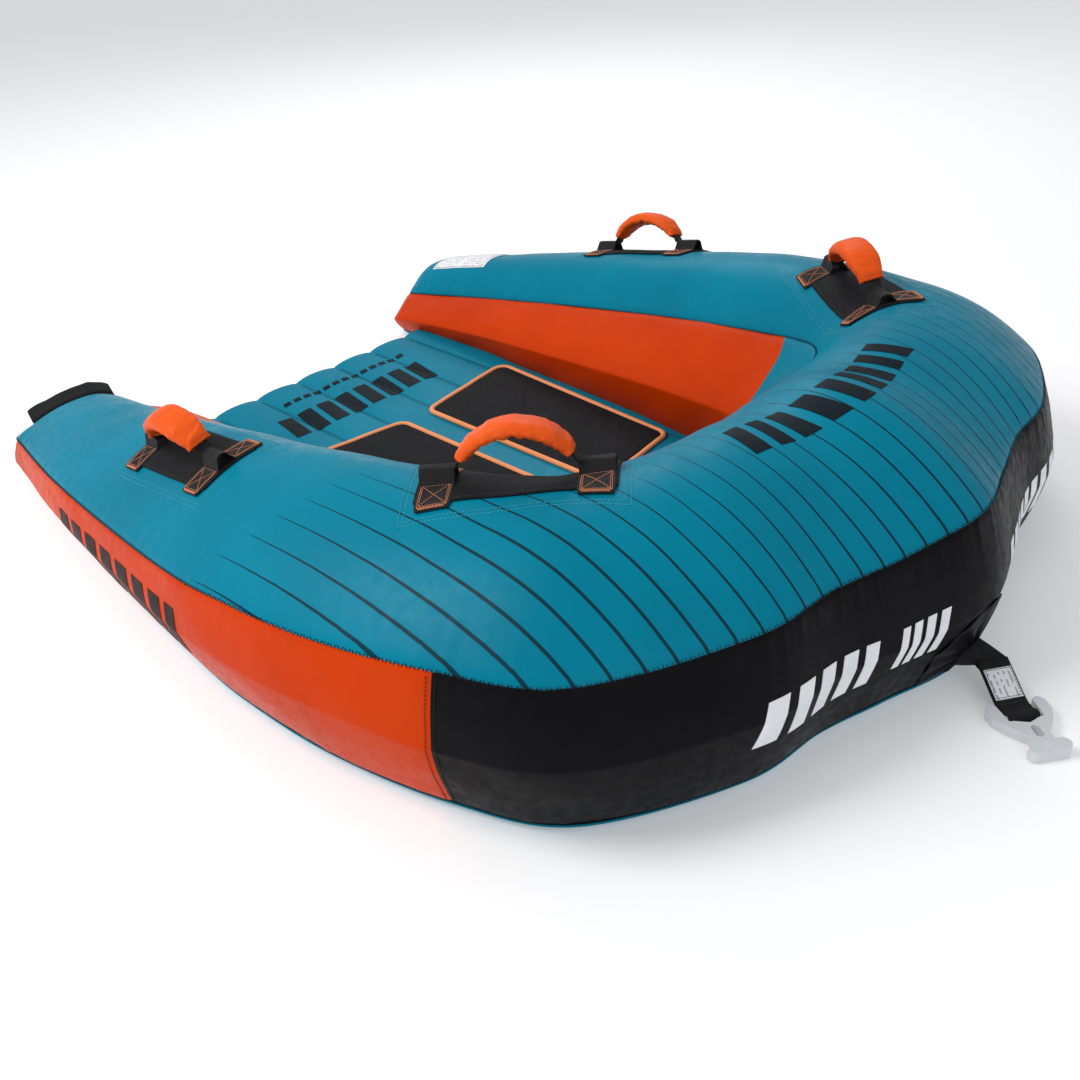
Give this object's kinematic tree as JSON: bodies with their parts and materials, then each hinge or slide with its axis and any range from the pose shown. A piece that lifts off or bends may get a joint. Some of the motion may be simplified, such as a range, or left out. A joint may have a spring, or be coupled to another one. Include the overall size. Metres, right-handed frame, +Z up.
{
  "type": "towable tube",
  "caption": "U-shaped inflatable deck tube in a sewn cloth cover, with an inflatable floor, padded handles on the crown and a tow strap that ends in a quick connector.",
  "frame": {"origin": "on the ground under the middle of the overall box", "axes": "+Z up, -Y towards the bow and the tow strap, -X towards the starboard side tube"},
  "size_m": [1.6012, 2.007, 0.453],
  "materials": {
    "teal_cloth": "satin",
    "orange_cloth": "satin",
    "black_cloth": "satin",
    "black_webbing": "matte",
    "neoprene": "matte",
    "piping": "satin",
    "label": "satin",
    "pvc_film": "satin",
    "foam": "matte",
    "pad_foam": "matte",
    "black_plastic": "matte",
    "white_plastic": "gloss"
  },
  "bodies": {
    "hull": {"main_bladder": "pvc_film", "floor_bladder": "pvc_film", "valve_base": "black_plastic", "valve_diaphragm": "black_plastic", "floor_valve_base": "black_plastic", "top_cover": "teal_cloth", "side_panel_starboard": "orange_cloth", "side_panel_port": "orange_cloth", "bow_panel": "black_cloth", "inner_panel_starboard": "orange_cloth", "inner_panel_port": "orange_cloth", "inner_bow_panel": "teal_cloth", "tail_panel_starboard": "orange_cloth", "tail_panel_port": "orange_cloth", "base_panel_starboard": "teal_cloth", "base_panel_port": "teal_cloth", "base_panel_bow": "teal_cloth", "zip_tapes": "black_cloth", "zip_coil": "black_cloth", "floor_top_panel": "teal_cloth", "floor_edge_band": "teal_cloth", "floor_bottom_panel": "teal_cloth", "seat_pad_starboard": "pad_foam", "seat_pad_port": "pad_foam", "seat_piping_starboard": "piping", "seat_piping_port": "piping", "knuckle_pad_front_starboard": "neoprene", "knuckle_pad_front_port": "neoprene", "knuckle_pad_rear_starboard": "neoprene", "knuckle_pad_rear_port": "neoprene", "tabs_front_starboard": "black_webbing", "tabs_front_port": "black_webbing", "tabs_rear_starboard": "black_webbing", "tabs_rear_port": "black_webbing", "tow_patch": "black_cloth", "tow_anchor": "black_webbing", "care_label": "label"},
    "handle_front_starboard": {"sleeve_front_starboard": "orange_cloth", "foam_front_starboard": "foam", "webbing_front_starboard": "black_webbing"},
    "handle_front_port": {"sleeve_front_port": "orange_cloth", "foam_front_port": "foam", "webbing_front_port": "black_webbing"},
    "handle_rear_starboard": {"sleeve_rear_starboard": "orange_cloth", "foam_rear_starboard": "foam", "webbing_rear_starboard": "black_webbing"},
    "handle_rear_port": {"sleeve_rear_port": "orange_cloth", "foam_rear_port": "foam", "webbing_rear_port": "black_webbing"},
    "strap": {"tow_strap": "black_webbing", "tow_label": "label"},
    "connector": {"quick_connector": "white_plastic"},
    "flap": {"valve_flap": "neoprene"},
    "cap": {"valve_cap": "black_plastic"},
    "slider": {"zip_slider": "black_plastic"},
    "floor_cap": {"floor_valve_cap": "black_plastic"}
  },
  "joints": [
    {"name": "roll_front_starboard", "type": "hinge", "parent": "hull", "child": "handle_front_starboard", "pos_m": [-0.43808, -0.32937, 0.38475], "axis": [0.6111, -0.7885, 0.0687], "range_deg": [-65, 65], "stiffness_Nm_per_rad": 0.3},
    {"name": "roll_front_port", "type": "hinge", "parent": "hull", "child": "handle_front_port", "pos_m": [0.43808, -0.32937, 0.38475], "axis": [-0.6111, -0.7885, 0.0687], "range_deg": [-65, 65], "stiffness_Nm_per_rad": 0.3},
    {"name": "roll_rear_starboard", "type": "hinge", "parent": "hull", "child": "handle_rear_starboard", "pos_m": [-0.60161, 0.28201, 0.28223], "axis": [-0.0615, -0.9812, 0.183], "range_deg": [-65, 65], "stiffness_Nm_per_rad": 0.3},
    {"name": "roll_rear_port", "type": "hinge", "parent": "hull", "child": "handle_rear_port", "pos_m": [0.60161, 0.28201, 0.28223], "axis": [0.0615, -0.9812, 0.183], "range_deg": [-65, 65], "stiffness_Nm_per_rad": 0.3},
    {"name": "strap_lift", "type": "hinge", "parent": "hull", "child": "strap", "pos_m": [0, -0.85, 0.04], "axis": [-0.8192, 0.5736, 0], "range_deg": [0, 55]},
    {"name": "connector_turn", "type": "hinge", "parent": "strap", "child": "connector", "pos_m": [-0.05158, -0.92366, 0.01], "axis": [-0.8192, 0.5736, 0], "range_deg": [0, 50]},
    {"name": "flap_lift", "type": "hinge", "parent": "hull", "child": "flap", "pos_m": [-0.4955, 0.92106, 0.1366], "axis": [0.9182, -0.396, 0], "range_deg": [0, 80]},
    {"name": "cap_turn", "type": "hinge", "parent": "hull", "child": "cap", "pos_m": [-0.49727, 0.86462, 0.066], "axis": [0.2124, 0.9772, 0], "range_deg": [0, 270]},
    {"name": "slider_run", "type": "hinge", "parent": "hull", "child": "slider", "pos_m": [-0.48057, 0.93439, -0.30493], "axis": [0.2776, 0.9607, 0], "range_deg": [-13, 0]},
    {"name": "floor_cap_turn", "type": "hinge", "parent": "hull", "child": "floor_cap", "pos_m": [0.15, 0.78414, 0.02], "axis": [0, 1, 0], "range_deg": [0, 270]}
  ]
}
